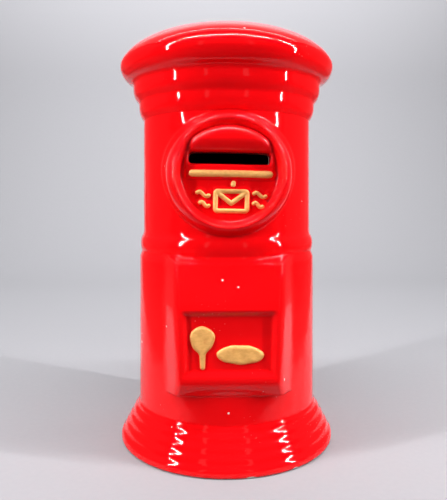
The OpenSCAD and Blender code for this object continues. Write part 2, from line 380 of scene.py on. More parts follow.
rings = []
travelled = np.inf
for r, z in outside[::-1]:
    travelled += outline_step
    if travelled >= ring_spacing(z):
        rings.append({"r": r, "z": z, "fine": relief_low < z < relief_high, "inner": False})
        travelled = 0
rings[0]["r"] = 0
slot_rings = [n for n, ring in enumerate(rings) if abs(ring["z"] - slot_z) < 5]
travelled = np.inf
low_band, high_band = rings[slot_rings[-1]]["z"], rings[slot_rings[0]]["z"]
band_done = False
for r, z in inside:
    travelled += outline_step
    up_the_wall = z > 20 and r > 20
    if up_the_wall and low_band - 1 < z < high_band + 1:
        if not band_done:
            for n in reversed(slot_rings):
                rings.append({"r": inner_r, "z": rings[n]["z"], "fine": True, "inner": True,
                              "twin": n})
            band_done = True
            travelled = 0
        continue
    if travelled >= (3.0 if up_the_wall or z > 12 else 0.8):
        rings.append({"r": r, "z": z, "fine": False, "inner": True})
        travelled = 0
rings[-1]["r"] = 0
rings[-1]["z"] = bank_h - wall

front_x = np.arange(-front_reach, front_reach + fine_step / 2, fine_step)
front_angles = np.arcsin(front_x / upper_r)
back_angles = np.linspace(front_angles[-1], front_angles[0] + 2 * math.pi, 84)[1:-1]
angles = np.r_[front_angles, back_angles]
column_count = len(angles)
coarse = [j for j in range(column_count) if j >= len(front_x) or j % 4 == 0]
if coarse[-1] < len(front_x) - 1:
    coarse.append(len(front_x) - 1)


def ring_points(ring, columns):
    """The points of one ring of the net, in millimetres."""
    turn = angles[columns]
    x = ring["r"] * np.sin(turn)
    ahead = ring["r"] * np.cos(turn)
    z = np.full_like(x, ring["z"])
    if "twin" in ring:
        outer_x = upper_r * np.sin(turn)
        squeeze = (inner_r - slot_side) / (upper_r - slot_side)
        squeezed = slot_side + (np.abs(outer_x) - slot_side) * squeeze
        near = np.where(np.abs(outer_x) < slot_side, outer_x, np.sign(outer_x) * squeezed)
        x = np.where(ahead > 0, near, x)
        ahead = np.where(ahead > 0, np.sqrt(np.maximum(inner_r ** 2 - x ** 2, 0)), ahead)
    if not ring["inner"]:
        push = 1 + unevenness(x, -ahead, z) / max(ring["r"], 1)
        fade = ease(ring["r"] / 10) * ease(ring["z"] / 3) * ease((cap_r - ring["r"]) / 1.0)
        push = 1 + (push - 1) * fade
        x, ahead = x * push, ahead * push
    if ring["fine"] and not ring["inner"]:
        facing = ahead > 2
        raised = front_of(x, z, ahead)
        ahead = np.where(facing & (np.abs(x) < relief_half_w), raised, ahead)
    return np.c_[x, -ahead, z]


points = []
ring_index = []
for ring in rings:
    columns = list(range(column_count)) if ring["fine"] else coarse
    if ring["r"] == 0:
        ring_index.append({"pole": len(points)})
        points.append((0, 0, ring["z"]))
        continue
    start = len(points)
    points.extend(map(tuple, ring_points(ring, columns)))
    ring_index.append({j: start + k for k, j in enumerate(columns)})
points = np.array(points)


def open_cell(n, j):
    """True if the net's cell below ring n, right of column j, lies in the coin slot."""
    if not (rings[n]["fine"] and rings[n + 1]["fine"]):
        return False
    k = (j + 1) % column_count
    corners = [ring_index[n][j], ring_index[n][k], ring_index[n + 1][j], ring_index[n + 1][k]]
    centre = points[corners].mean(0)
    return centre[1] < 0 and slot_gap(centre[0], centre[2]) < 0


def on_outline(x, z):
    """The nearest point of the slot's outline to (x, z)."""
    for _ in range(6):
        gap = slot_gap(x, z)
        step = 1e-4
        gx = (slot_gap(x + step, z) - gap) / step
        gz = (slot_gap(x, z + step) - gap) / step
        length = max(math.hypot(gx, gz), 1e-6)
        x, z = x - gap * gx / length, z - gap * gz / length
    return x, z


faces = []
slot_cells = set()
for n in range(len(rings) - 1):
    upper, lower = ring_index[n], ring_index[n + 1]
    if "pole" in upper or "pole" in lower:
        pole, other = (upper, lower) if "pole" in upper else (lower, upper)
        around = sorted(other)
        for a, b in zip(around, around[1:] + around[:1]):
            faces.append([pole["pole"], other[a], other[b]])
        continue
    steps = sorted(set(upper) & set(lower))
    for a, b in zip(steps, steps[1:] + steps[:1]):
        if len(upper) == len(lower) == column_count and open_cell(n, a):
            if not rings[n]["inner"]:
                slot_cells.add((n, a))
            continue
        last = b if b > a else b + column_count
        top = [upper[j % column_count] for j in range(a, last + 1) if j % column_count in upper]
        low = [lower[j % column_count] for j in range(a, last + 1) if j % column_count in lower]
        faces.append(top + low[::-1])

# The slot's walls join each edge of the opening outside to its twin inside.
twin_of = {ring["twin"]: n for n, ring in enumerate(rings) if "twin" in ring}
edge_points = {}


def slot_edge(n, j):
    """The wall's points from the outside in, for the net's point at ring n, column j."""
    j = j % column_count
    if (n, j) not in edge_points:
        outer, inner = ring_index[n][j], ring_index[twin_of[n]][j]
        x, z = on_outline(points[outer][0], points[outer][2])
        barrel = math.sqrt(upper_r ** 2 - x ** 2)
        depth_out = -float(front_of(np.array([x]), np.array([z]), np.array([barrel]))[0])
        points[outer] = (x, depth_out, z)
        points[inner] = (x, -math.sqrt(inner_r ** 2 - x ** 2), z)
        edge_points[(n, j)] = [outer, None, None, inner]
    return edge_points[(n, j)]


wall_edges = []
for n, j in sorted(slot_cells):
    for beside, a, b in (((n - 1, j), (n, j), (n, j + 1)),
                         ((n + 1, j), (n + 1, j + 1), (n + 1, j)),
                         ((n, j - 1), (n + 1, j), (n, j)),
                         ((n, j + 1), (n, j + 1), (n + 1, j + 1))):
        if (beside[0], beside[1] % column_count) not in slot_cells:
            wall_edges.append((slot_edge(*a), slot_edge(*b)))
extra = []
for path in edge_points.values():
    for k in (1, 2):
        path[k] = len(points) + len(extra)
        extra.append(points[path[0]] + (points[path[3]] - points[path[0]]) * k / 3)
points = np.vstack([points, extra])
for path_a, path_b in wall_edges:
    for k in range(3):
        faces.append([path_a[k], path_b[k], path_b[k + 1], path_a[k + 1]])

casting_mesh = bpy.data.meshes.new("casting")
casting_mesh.from_pydata((points * MM).tolist(), [], faces)
bare = np.zeros(len(casting_mesh.vertices))
for ring, members in zip(rings, ring_index):
    if ring["inner"]:
        bare[list(members.values())] = 1 if ring["z"] < floor_z - 1 else 2
for path in edge_points.values():
    bare[path] = (0, 0, 0, 2)
casting_mesh.attributes.new("bare", "FLOAT", "POINT").data.foreach_set("value", bare)
net = bmesh.new()
net.from_mesh(casting_mesh)
loose = [v for v in net.verts if not v.link_faces]
bmesh.ops.delete(net, geom=loose, context="VERTS")
bmesh.ops.recalc_face_normals(net, faces=net.faces)
net.to_mesh(casting_mesh)
net.free()
casting_mesh.shade_smooth()
casting = bpy.data.objects.new("casting", casting_mesh)
bpy.context.scene.collection.objects.link(casting)


def mark_hollows(mesh):
    """Stores how hollow each point is, from -1 on a sharp edge to 1 in a tight corner."""
    count = len(mesh.vertices)
    place = np.empty(count * 3)
    mesh.vertices.foreach_get("co", place)
    place = place.reshape(-1, 3) / MM
    facing = np.empty(count * 3)
    mesh.vertex_normals.foreach_get("vector", facing)
    facing = facing.reshape(-1, 3)
    ends = np.empty(len(mesh.edges) * 2, int)
    mesh.edges.foreach_get("vertices", ends)
    a, b = ends.reshape(-1, 2).T
    span = place[b] - place[a]
    length = np.maximum(np.sum(span ** 2, axis=1), 1e-6)
    bend = np.bincount(a, np.sum(span * facing[a], axis=1) / length, count)
    bend += np.bincount(b, -np.sum(span * facing[b], axis=1) / length, count)
    links = np.maximum(np.bincount(a, minlength=count) + np.bincount(b, minlength=count), 1)
    bend /= links
    for _ in range(3):
        spread = np.bincount(a, bend[b], count) + np.bincount(b, bend[a], count)
        bend = 0.5 * bend + 0.5 * spread / links
    mesh.attributes.new("hollow", "FLOAT", "POINT").data.foreach_set(
        "value", np.clip(bend / 0.35, -1, 1))


mark_hollows(casting_mesh)


def new_material(name):
    """A material with a Principled shader, as (material, node tree, shader)."""
    material = bpy.data.materials.new(name)
    material.use_nodes = True
    tree = material.node_tree
    return material, tree, tree.nodes["Principled BSDF"]


def put(tree, kind, **settings):
    """Adds a node. Settings named after its inputs set those, or link to them."""
    node = tree.nodes.new(kind)
    for name, value in settings.items():
        if name.startswith("in_"):
            place = name[3:]
            socket = node.inputs[int(place) if place.isdigit() else place.replace("_", " ")]
            if isinstance(value, bpy.types.NodeSocket):
                tree.links.new(value, socket)
            else:
                socket.default_value = value
        else:
            setattr(node, name, value)
    return node


def ramp(tree, value, low, high, to_low=0.0, to_high=1.0):
    """A soft step of `value`, from to_low at `low` to to_high at `high`."""
    node = put(tree, "ShaderNodeMapRange", interpolation_type="SMOOTHSTEP", in_0=value,
               in_1=low, in_2=high, in_3=to_low, in_4=to_high)
    return node.outputs[0]


def mix_colour(tree, share, below, above, blend="MIX"):
    node = put(tree, "ShaderNodeMix", data_type="RGBA", blend_type=blend, in_0=share, in_6=below,
               in_7=above)
    return node.outputs[2]


def maths(tree, operation, a, b=0.0):
    return put(tree, "ShaderNodeMath", operation=operation, in_0=a, in_1=b).outputs[0]


def wave_group():
    """Slow waves, orange-peel, pinholes, dust and blotches, for any fired surface."""
    group = bpy.data.node_groups.new("fired_surface", "ShaderNodeTree")
    group.interface.new_socket("Position", in_out="INPUT", socket_type="NodeSocketVector")
    for name in ("Waves", "Peel", "Pinholes", "Dust", "Blotches"):
        group.interface.new_socket(name, in_out="OUTPUT", socket_type="NodeSocketFloat")
    start = group.nodes.new("NodeGroupInput")
    end = group.nodes.new("NodeGroupOutput")
    here = start.outputs["Position"]
    waves = put(group, "ShaderNodeTexNoise", in_Vector=here, in_Scale=70.0, in_Detail=1.5)
    peel = put(group, "ShaderNodeTexNoise", in_Vector=here, in_Scale=420.0, in_Detail=2.0)
    cells = put(group, "ShaderNodeTexVoronoi", in_Vector=here, in_Scale=150.0)
    size = put(group, "ShaderNodeTexNoise", in_Vector=here, in_Scale=60.0, in_Detail=0.0)
    hole_size = ramp(group, size.outputs[0], 0.62, 0.78, 0.0, 0.085)
    holes = maths(group, "LESS_THAN", cells.outputs["Distance"], hole_size)
    dust = put(group, "ShaderNodeTexVoronoi", in_Vector=here, in_Scale=620.0)
    where = put(group, "ShaderNodeTexNoise", in_Vector=here, in_Scale=33.0, in_Detail=2.0)
    dust_size = ramp(group, where.outputs[0], 0.5, 0.72, 0.0, 0.1)
    dust_mask = maths(group, "LESS_THAN", dust.outputs["Distance"], dust_size)
    blotches = put(group, "ShaderNodeTexNoise", in_Vector=here, in_Scale=24.0, in_Detail=3.0)
    group.links.new(waves.outputs[0], end.inputs["Waves"])
    group.links.new(peel.outputs[0], end.inputs["Peel"])
    group.links.new(holes, end.inputs["Pinholes"])
    group.links.new(dust_mask, end.inputs["Dust"])
    group.links.new(blotches.outputs[0], end.inputs["Blotches"])
    return group


fired_surface = wave_group()


def fired(tree):
    """The shared surface group at the object's own coordinates."""
    place = put(tree, "ShaderNodeTexCoord").outputs["Object"]
    node = put(tree, "ShaderNodeGroup", node_tree=fired_surface, in_Position=place)
    return place, node.outputs


glaze, tree, shader = new_material("red_glaze")
here, marks = fired(tree)
split = put(tree, "ShaderNodeSeparateXYZ", in_0=here)
hollow = put(tree, "ShaderNodeAttribute", attribute_name="hollow").outputs["Fac"]

# Glaze runs off sharp edges and pools in the corners, where it is deeper in colour.
red = mix_colour(tree, ramp(tree, marks["Blotches"], 0.3, 0.7),
                 (0.80, 0.0022, 0.0040, 1), (0.86, 0.0026, 0.0050, 1))
red = mix_colour(tree, ramp(tree, hollow, 0.12, 0.9), red, (0.56, 0.0008, 0.0020, 1))
red = mix_colour(tree, ramp(tree, hollow, -0.3, -1.0, 0.0, 0.5), red, (0.95, 0.012, 0.012, 1))

# Bare white clay: the ground foot, chips along its edge, the underside and the inside. Deep inside
# the hollow, the clay is painted near black as painted shade.
edge_noise = put(tree, "ShaderNodeTexNoise", in_Vector=here, in_Scale=330.0, in_Detail=3.0)
patches = put(tree, "ShaderNodeTexNoise", in_Vector=here, in_Scale=95.0, in_Detail=1.0)
glaze_edge = maths(tree, "MULTIPLY", ramp(tree, patches.outputs[0], 0.58, 0.72), 0.0010)
glaze_edge = maths(tree, "ADD", glaze_edge, maths(tree, "MULTIPLY", edge_noise.outputs[0], 0.0005))
bare_foot = maths(tree, "LESS_THAN", split.outputs[2], glaze_edge)
inside_share = put(tree, "ShaderNodeAttribute", attribute_name="bare").outputs["Fac"]
inside_shade = ramp(tree, inside_share, 1.1, 1.9)
inside_share = maths(tree, "ADD", inside_share, maths(tree, "MULTIPLY", edge_noise.outputs[0], 0.3))
unglazed = maths(tree, "MAXIMUM", bare_foot, ramp(tree, inside_share, 0.62, 0.72))
clay = mix_colour(tree, marks["Waves"], (0.52, 0.47, 0.42, 1), (0.66, 0.62, 0.57, 1))
# Painted shade: the clay deep inside the hollow body and at the inner end of the slot is painted
# near black.
clay = mix_colour(tree, inside_shade, clay, (0.06, 0.045, 0.04, 1))
colour = mix_colour(tree, unglazed, red, clay)
colour = mix_colour(tree, marks["Pinholes"], colour, (0.86, 0.62, 0.58, 1))
colour = mix_colour(tree, maths(tree, "MULTIPLY", marks["Dust"], 0.35), colour,
                    (0.75, 0.55, 0.52, 1))
tree.links.new(colour, shader.inputs["Base Color"])
gloss = ramp(tree, marks["Blotches"], 0.35, 0.75, 0.035, 0.07)
gloss = maths(tree, "MAXIMUM", gloss, maths(tree, "MULTIPLY", unglazed, 0.85))
gloss = maths(tree, "MAXIMUM", gloss, maths(tree, "MULTIPLY", marks["Dust"], 0.4))
tree.links.new(gloss, shader.inputs["Roughness"])
shader.inputs["IOR"].default_value = 1.5
shader.inputs["Specular IOR Level"].default_value = 0.28
slow = put(tree, "ShaderNodeBump", in_Strength=0.18, in_Distance=0.0012, in_Height=marks["Waves"])
close = put(tree, "ShaderNodeBump", in_Strength=0.1, in_Distance=0.0002, in_Height=marks["Peel"],
            in_Normal=slow.outputs[0])
pits = put(tree, "ShaderNodeBump", invert=True, in_Strength=0.6, in_Distance=0.0002,
           in_Height=marks["Pinholes"], in_Normal=close.outputs[0])
tree.links.new(pits.outputs[0], shader.inputs["Normal"])
casting.data.materials.append(glaze)
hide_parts("ceramic_body")
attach(casting, "bank")

# The gold: a matt bronze-gold enamel, brushed by hand over the raised clay after firing.
# It is thin in places, so that the red shows through, and keeps the brush's fine lines.
gold, tree, shader = new_material("gilt")
here, marks = fired(tree)
stretched = put(tree, "ShaderNodeMapping", in_Vector=here, in_Scale=(0.5, 1.0, 0.9))
brush = put(tree, "ShaderNodeTexNoise", in_Vector=stretched.outputs[0], in_Scale=900.0,
            in_Detail=4.0, in_Roughness=0.65)
tone = mix_colour(tree, ramp(tree, brush.outputs[0], 0.3, 0.7), (0.72, 0.35, 0.095, 1),
                  (0.86, 0.45, 0.140, 1))
thin = put(tree, "ShaderNodeTexNoise", in_Vector=here, in_Scale=260.0, in_Detail=4.0)
tone = mix_colour(tree, ramp(tree, thin.outputs[0], 0.60, 0.78, 0.0, 0.5), tone,
                  (0.62, 0.16, 0.045, 1))
rim = put(tree, "ShaderNodeAttribute", attribute_name="rim").outputs["Fac"]
tone = mix_colour(tree, maths(tree, "MULTIPLY", rim, 0.75), tone, (0.74, 0.20, 0.055, 1))
tree.links.new(tone, shader.inputs["Base Color"])
shader.inputs["Metallic"].default_value = 0.15
tree.links.new(ramp(tree, brush.outputs[0], 0.3, 0.7, 0.36, 0.55), shader.inputs["Roughness"])
lines = put(tree, "ShaderNodeBump", in_Strength=0.3, in_Distance=0.0001,
            in_Height=brush.outputs[0])
grain = put(tree, "ShaderNodeBump", in_Strength=0.25, in_Distance=0.0003,
            in_Height=marks["Peel"], in_Normal=lines.outputs[0])
tree.links.new(grain.outputs[0], shader.inputs["Normal"])

# A brush stroke is a line swept by a half-round section that tapers at both ends. The
# sweep is drawn flat, with its rise along Z, and then laid on the casting's front.


def stroke_group():
    group = bpy.data.node_groups.new("brush_stroke", "GeometryNodeTree")
    group.interface.new_socket("Geometry", in_out="INPUT", socket_type="NodeSocketGeometry")
    for name, low in (("Width", 0.002), ("Rise", 0.0005), ("Unevenness", 0.1), ("Seed", 0.0)):
        socket = group.interface.new_socket(name, in_out="INPUT", socket_type="NodeSocketFloat")
        socket.default_value = low
    group.interface.new_socket("Material", in_out="INPUT", socket_type="NodeSocketMaterial")
    group.interface.new_socket("Geometry", in_out="OUTPUT", socket_type="NodeSocketGeometry")
    start = group.nodes.new("NodeGroupInput")
    end = group.nodes.new("NodeGroupOutput")
    curve = put(group, "GeometryNodeMeshToCurve", in_Mesh=start.outputs["Geometry"])
    fine = put(group, "GeometryNodeResampleCurve", mode="LENGTH", in_Curve=curve.outputs[0])
    fine.inputs["Length"].default_value = 0.00022
    whole = put(group, "GeometryNodeSplineLength").outputs["Length"]
    done = put(group, "GeometryNodeSplineParameter").outputs["Length"]
    left = maths(group, "SUBTRACT", whole, done)
    half = maths(group, "MULTIPLY", start.outputs["Width"], 0.5)
    near = maths(group, "MINIMUM", maths(group, "DIVIDE", maths(group, "MINIMUM", done, left),
                                         half), 1.0)
    back = maths(group, "SUBTRACT", 1.0, near)
    taper = maths(group, "SQRT", maths(group, "SUBTRACT", 1.0,
                                       maths(group, "MULTIPLY", back, back)))
    taper = maths(group, "MAXIMUM", taper, 0.06)
    place = put(group, "GeometryNodeInputPosition").outputs[0]
    wobble = put(group, "ShaderNodeTexNoise", noise_dimensions="4D", in_Vector=place,
                 in_W=start.outputs["Seed"], in_Scale=330.0, in_Detail=1.0).outputs[0]
    wobble = maths(group, "MULTIPLY", maths(group, "SUBTRACT", wobble, 0.5),
                   start.outputs["Unevenness"])
    wide = maths(group, "MULTIPLY", maths(group, "ADD", wobble, 1.0), taper)
    radius = put(group, "GeometryNodeSetCurveRadius", in_Curve=fine.outputs[0], in_Radius=wide)
    upright = put(group, "GeometryNodeSetCurveNormal", mode="Z_UP", in_Curve=radius.outputs[0])
    ring = put(group, "GeometryNodeCurvePrimitiveCircle", in_Resolution=20, in_Radius=0.5)
    shape = put(group, "ShaderNodeCombineXYZ", in_0=start.outputs["Width"],
                in_1=maths(group, "MULTIPLY", start.outputs["Rise"], 2.0), in_2=1.0)
    section = put(group, "GeometryNodeTransform", in_Geometry=ring.outputs[0],
                  in_Scale=shape.outputs[0])
    sweep = put(group, "GeometryNodeCurveToMesh", in_Curve=upright.outputs[0],
                in_Profile_Curve=section.outputs[0], in_Fill_Caps=True,
                in_Scale=put(group, "GeometryNodeInputRadius").outputs[0])
    coat = put(group, "GeometryNodeSetMaterial", in_Geometry=sweep.outputs[0],
               in_Material=start.outputs["Material"])
    solid = put(group, "GeometryNodeRealizeInstances", in_Geometry=coat.outputs[0])
    group.links.new(solid.outputs[0], end.inputs["Geometry"])
    return group


brush_stroke = stroke_group()


def surface_out(x, z):
    """How far the finished front stands out at each (x, z)."""
    return front_of(x, z, np.sqrt(np.maximum(upper_r ** 2 - x ** 2, 0)))


def add_rim(mesh, nearness):
    mesh.attributes.new("rim", "FLOAT", "POINT").data.foreach_set("value", np.clip(nearness, 0, 1))


def paint_strokes(name, paths, width, rise, seed):
    """Strokes along paths given on the slot's level axes, as one piece that rides the bank."""
    drawn = bpy.data.meshes.new(name + "_lines")
    corners, joins = [], []
    for path in paths:
        start = len(corners)
        for x, z in path:
            up = z - medallion_z
            corners.append(((x * math.cos(askew) + up * math.sin(askew)) * MM,
                            (medallion_z - x * math.sin(askew) + up * math.cos(askew)) * MM, 0))
        joins += [(start + k, start + k + 1) for k in range(len(path) - 1)]
    drawn.from_pydata(corners, joins, [])
    lines = bpy.data.objects.new(name + "_lines", drawn)
    bpy.context.scene.collection.objects.link(lines)
    sweep = lines.modifiers.new("strokes", "NODES")
    sweep.node_group = brush_stroke
    values = {"Width": width * MM, "Rise": rise * MM, "Unevenness": 0.22, "Seed": float(seed),
              "Material": gold}
    for item in brush_stroke.interface.items_tree:
        if item.item_type == "SOCKET" and item.in_out == "INPUT" and item.name in values:
            sweep[item.identifier] = values[item.name]
    seen = bpy.context.evaluated_depsgraph_get()
    mesh = bpy.data.meshes.new_from_object(lines.evaluated_get(seen))
    bpy.data.objects.remove(lines)
    count = len(mesh.vertices)
    flat = np.empty(count * 3)
    mesh.vertices.foreach_get("co", flat)
    x, z, lift = flat.reshape(-1, 3).T / MM
    add_rim(mesh, 1 - np.abs(lift) / (0.45 * rise))
    out = surface_out(x, z) + np.where(lift > 0, lift, 0.5 * lift)
    mesh.vertices.foreach_set("co", (np.c_[x, -out, z] * MM).ravel())
    net = bmesh.new()
    net.from_mesh(mesh)
    bmesh.ops.recalc_face_normals(net, faces=net.faces)
    net.to_mesh(mesh)
    net.free()
    return finish_gilt(name, mesh)


def finish_gilt(name, mesh):
    mesh.shade_smooth()
    if not mesh.materials:
        mesh.materials.append(gold)
    piece = bpy.data.objects.new(name, mesh)
    bpy.context.scene.collection.objects.link(piece)
    return piece


def paint_plate(name, gap, low, high, edge, rise):
    """A brushed plate inside an outline, given as a distance; closed behind, under the glaze."""
    step = 0.3
    xs = np.arange(low[0], high[0], step)
    zs = np.arange(low[1], high[1], step)
    grid_x, grid_z = np.meshgrid(xs, zs)
    inside = gap(grid_x[:-1, :-1] + step / 2, grid_z[:-1, :-1] + step / 2) < 0
    x, z = grid_x.ravel(), grid_z.ravel()
    rows, columns = np.nonzero(inside)
    wide = len(xs)
    cells = [(r * wide + c, r * wide + c + 1, (r + 1) * wide + c + 1, (r + 1) * wide + c)
             for r, c in zip(rows, columns)]
    uses = {}
    for cell in cells:
        for a, b in zip(cell, cell[1:] + cell[:1]):
            uses.setdefault((min(a, b), max(a, b)), []).append((a, b))
    border = [pairs[0] for pairs in uses.values() if len(pairs) == 1]
    on_border = sorted({a for pair in border for a in pair})
    bx, bz = x[on_border], z[on_border]
    for _ in range(6):
        off = gap(bx, bz)
        gx = (gap(bx + 1e-4, bz) - off) / 1e-4
        gz = (gap(bx, bz + 1e-4) - off) / 1e-4
        length = np.maximum(gx ** 2 + gz ** 2, 1e-6)
        bx, bz = bx - off * gx / length, bz - off * gz / length
    x[on_border], z[on_border] = bx, bz
    used = sorted({a for cell in cells for a in cell})
    place = {a: k for k, a in enumerate(used)}
    count = len(used)
    x, z = x[used], z[used]
    depth = np.clip(-gap(x, z) / edge, 0, 1)
    lift = rise * (np.sqrt(1 - (1 - depth) ** 2) + 0.07 * np.sin(1.1 * x + 0.7 * z) * depth ** 2)
    out = surface_out(x, z)
    corners = np.vstack([np.c_[x, -out - lift, z], np.c_[x, -out + 0.3, z]]) * MM
    faces = [[place[a] for a in cell] for cell in cells]
    faces += [[place[a] + count for a in reversed(cell)] for cell in cells]
    faces += [[place[b], place[a], place[a] + count, place[b] + count] for a, b in border]
    mesh = bpy.data.meshes.new(name)
    mesh.from_pydata(corners.tolist(), [], faces)
    add_rim(mesh, np.r_[1 - depth / 0.25, np.ones(count)])
    net = bmesh.new()
    net.from_mesh(mesh)
    bmesh.ops.recalc_face_normals(net, faces=net.faces)
    net.to_mesh(mesh)
    net.free()
    return finish_gilt(name, mesh)


def fit_gilt(piece, node):
    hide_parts(node)
    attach(piece, "bank")


# The bar under the slot: a raised line of clay with one long stroke of gold brushed along
# it, round at both ends and a little uneven along its edges.
fit_gilt(paint_strokes("slot_bar_gold", bar_path(), bar_h, 0.55, 1), "slot_bar")

# The bead under the bar: a dot of clay with a touch of the brush on it, longer than it
# is wide.
fit_gilt(paint_strokes("bar_bead_gold", bead_path(), stroke_w, 0.4, 2), "bar_bead")

# The envelope: its outline and the two edges of its flap, trailed in clay and gone over
# in gold with the brush's tip. The outline closes where the stroke began.
fit_gilt(paint_strokes("envelope_gold", envelope_paths(), stroke_w, 0.42, 3), "envelope_mark")

# The wavy lines at each side of the envelope: two short strokes a side on raised clay,
# the lower one shorter, thinner than the envelope's lines.
fit_gilt(paint_strokes("left_waves_gold", wave_paths(-1), wave_w, 0.4, 4), "wave_marks_left")
fit_gilt(paint_strokes("right_waves_gold", wave_paths(1), wave_w, 0.4, 5), "wave_marks_right")

# The lock: a disc and a stem of raised clay on the sunk panel, filled in with gold by
# hand, so that its outline is not quite round.
lock_x, lock_z = -10.5, 50.9
lock_r, stem_h = 4.8, 10.8


def lock_gap(x, z):
    dx, dz = x - lock_x, z - lock_z
    wobble = 0.14 * np.sin(3 * np.arctan2(dz, dx) + 0.6) + 0.1 * np.sin(5 * np.arctan2(dz, dx))
    disc = np.hypot(dx, dz * 0.96) - lock_r - wobble
    down = np.clip(-dz / stem_h, 0, 1)
    stem = np.hypot(dx - 0.15 * down, dz + stem_h * down) - (1.45 - 0.45 * down)
    return smooth_min(disc, stem, 1.8)


fit_gilt(paint_plate("lock_gold", lock_gap, (-17.2, 37.0), (-4.0, 57.6), 1.1, 0.75), "lock_disc")

# The oval plate beside the lock: raised clay, nearly flat on top, filled in with gold in
# the same way and slightly out of level.
oval_x, oval_z = 4.1, 44.8
oval_half_w, oval_half_h = 9.15, 3.75


def oval_gap(x, z):
    dx, dz = x - oval_x, z - oval_z + 0.02 * (x - oval_x)
    wobble = 0.1 * np.sin(0.9 * x + 1.0) * np.sign(dz)
    k = np.maximum(np.hypot(dx / oval_half_w, dz / oval_half_h), 1e-3)
    slope = np.hypot(dx / oval_half_w ** 2, dz / oval_half_h ** 2)
    return k * (k - 1) / np.maximum(slope, 1e-3) - wobble


fit_gilt(paint_plate("oval_gold", oval_gap, (-6.2, 39.8), (14.6, 49.8), 1.4, 0.8), "oval_plate")

# The stopper's collar: a soft moulded ring pressed into the hole in the base, held by a
# flange below and a lip above. It is milky plastic, a little dusty from handling.
plug_r = 16.0
bore_r = 16.05
flange_t = 1.5

pvc, tree, shader = new_material("soft_pvc")
here, marks = fired(tree)
shade = mix_colour(tree, marks["Waves"], (0.62, 0.60, 0.53, 1), (0.74, 0.72, 0.66, 1))
grime = ramp(tree, marks["Blotches"], 0.5, 0.75, 0.0, 0.35)
shade = mix_colour(tree, grime, shade, (0.42, 0.38, 0.32, 1))
shade = mix_colour(tree, maths(tree, "MULTIPLY", marks["Dust"], 0.6), shade,
                   (0.30, 0.27, 0.24, 1))
tree.links.new(shade, shader.inputs["Base Color"])
tree.links.new(ramp(tree, marks["Blotches"], 0.3, 0.8, 0.38, 0.6), shader.inputs["Roughness"])
shader.inputs["Subsurface Weight"].default_value = 0.35
shader.inputs["Subsurface Radius"].default_value = (0.003, 0.0026, 0.002)
shader.inputs["Subsurface Scale"].default_value = 1.0
skin = put(tree, "ShaderNodeBump", in_Strength=0.25, in_Distance=0.0003, in_Height=marks["Peel"])
tree.links.new(skin.outputs[0], shader.inputs["Normal"])


def lathe(name, outline, round_off, steps=128):
    """A closed ring or disc turned from an outline, with its corners rounded."""
    line = []
    count = len(outline)
    for k in range(count):
        before, here, after = (np.array(outline[(k + d) % count], float) for d in (-1, 0, 1))
        if here[0] == 0:
            line.append(tuple(here))
            continue
        to_before, to_after = before - here, after - here
        reach = min(round_off, 0.45 * np.hypot(*to_before), 0.45 * np.hypot(*to_after))
        a = here + to_before / np.hypot(*to_before) * reach
        b = here + to_after / np.hypot(*to_after) * reach
        for t in np.linspace(0, 1, 5):
            line.append(tuple((1 - t) ** 2 * a + 2 * t * (1 - t) * here + t ** 2 * b))
    turned = bmesh.new()
    rings = []
    for r, z in line:
        if r == 0:
            rings.append([turned.verts.new((0, 0, z * MM))])
            continue
        rings.append([turned.verts.new((r * math.cos(a) * MM, r * math.sin(a) * MM, z * MM))
                      for a in np.linspace(0, 2 * math.pi, steps, endpoint=False)])
    for ring, follow in zip(rings, rings[1:] + rings[:1]):
        if len(ring) == 1 and len(follow) == 1:
            continue
        for k in range(steps):
            n = (k + 1) % steps
            corners = [ring[k % len(ring)], ring[n % len(ring)],
                       follow[n % len(follow)], follow[k % len(follow)]]
            turned.faces.new(list(dict.fromkeys(corners)))
    bmesh.ops.recalc_face_normals(turned, faces=turned.faces)
    mesh = bpy.data.meshes.new(name)
    turned.to_mesh(mesh)
    turned.free()
    mesh.shade_smooth()
    return mesh


def finish_soft(name, mesh, node, body):
    mesh.materials.append(pvc)
    piece = bpy.data.objects.new(name, mesh)
    bpy.context.scene.collection.objects.link(piece)
    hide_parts(node)
    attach(piece, body)


collar_mesh = lathe("collar", [
    (bore_r, base_recess - flange_t), (20.6, base_recess - flange_t),
    (20.9, base_recess - flange_t + 0.25), (21.2, base_recess - flange_t),
    (hole_r + 3.5, base_recess - flange_t), (hole_r + 3.5, base_recess), (hole_r, base_recess),
    (hole_r, floor_z), (hole_r + 1.4, floor_z), (hole_r + 0.3, floor_z + flange_t),
    (bore_r, floor_z + flange_t)], 0.3)
finish_soft("collar", collar_mesh, "stopper_collar", "bank")

# The stopper's plug: a soft cup, open downwards, moulded with a head that stops against
# the collar and a bar across it to pull it by. It slides straight down out of the collar.
head_z = base_recess - 2 * flange_t
plug_top_z = floor_z + flange_t
cup_r = plug_r - 3
plug_mesh = lathe("plug", [
    (0, plug_top_z), (plug_r - 0.5, plug_top_z), (plug_r, plug_top_z - 0.6),
    (plug_r, head_z + flange_t), (plug_r + 2, head_z + flange_t), (plug_r + 2, head_z),
    (cup_r, head_z), (cup_r - 0.15, plug_top_z - flange_t), (0, plug_top_z - flange_t)], 0.4)
bar = bmesh.new()
bar.from_mesh(plug_mesh)
grown = bmesh.ops.create_cube(bar, size=1.0)["verts"]
bar_top_z = plug_top_z - flange_t / 2
bmesh.ops.scale(bar, verts=grown, vec=(2 * (cup_r + 1) * MM, 3 * MM, (bar_top_z - head_z) * MM))
bmesh.ops.translate(bar, verts=grown, vec=(0, 0, (bar_top_z + head_z) / 2 * MM))
bar_edges = list({e for v in grown for e in v.link_edges})
bmesh.ops.bevel(bar, geom=bar_edges, offset=0.5 * MM, segments=4, profile=0.5, affect="EDGES")
bar.to_mesh(plug_mesh)
bar.free()
plug_mesh.shade_smooth()
finish_soft("plug", plug_mesh, "stopper_plug", "stopper")
